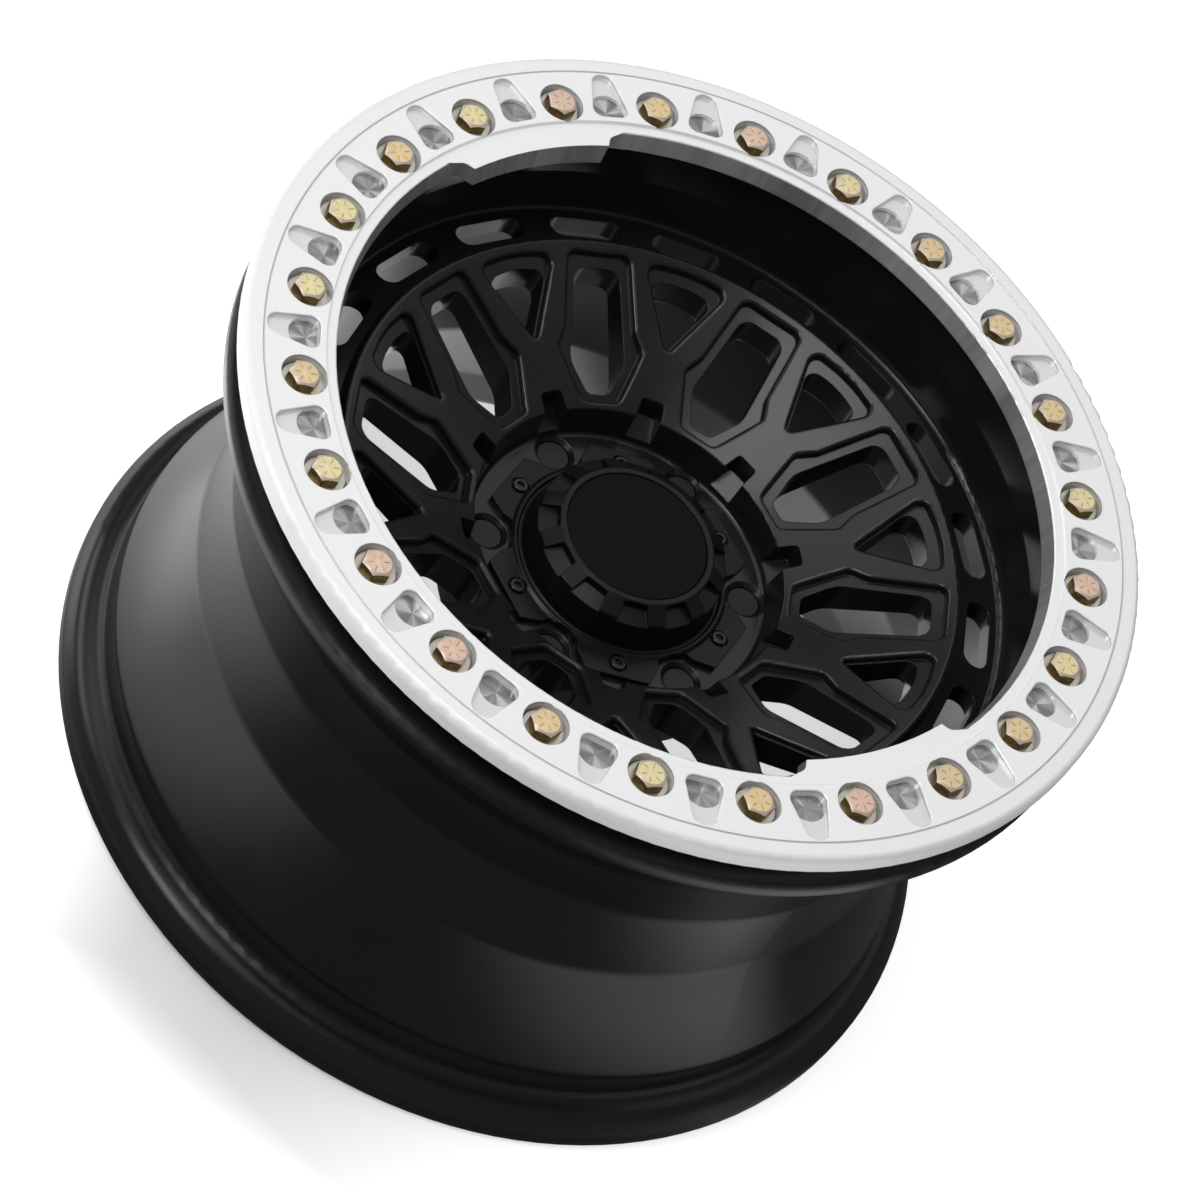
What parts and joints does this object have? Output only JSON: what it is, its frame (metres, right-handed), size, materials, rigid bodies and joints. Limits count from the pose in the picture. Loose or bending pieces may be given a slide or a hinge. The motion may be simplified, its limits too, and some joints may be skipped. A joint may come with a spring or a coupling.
{
  "type": "off-road clamp-ring wheel",
  "caption": "Deep-dish off-road car wheel with forked spokes, a bolted outer ring that clamps the tyre's bead, a screwed centre cap and a bare black barrel.",
  "frame": {"origin": "on the wheel's axis, in the plane of the rear lip that it lies on", "axes": "+Z is the wheel's axis, towards the outer face with the clamp ring; +X goes through one of the ring's two inner tabs and one lug hole"},
  "size_m": [0.4762, 0.4762, 0.2808],
  "materials": {
    "body_black": "satin black powder coat",
    "ring_bare": "machined, satin",
    "bolt_zinc": "yellow zinc",
    "washer_zinc": "pale yellow zinc",
    "cap_black": "satin black",
    "disc_black": "matte black",
    "screw_black": "black oxide, glossy",
    "plug_black": "matte black"
  },
  "bodies": {
    "root": {"wheel_body": "body_black", "clamp_ring": "ring_bare", "ring_bolts": "bolt_zinc", "ring_washers": "washer_zinc", "center_cap": "cap_black", "cap_disc": "disc_black", "cap_screws": "screw_black", "lug_plugs": "plug_black"}
  },
  "joints": []
}
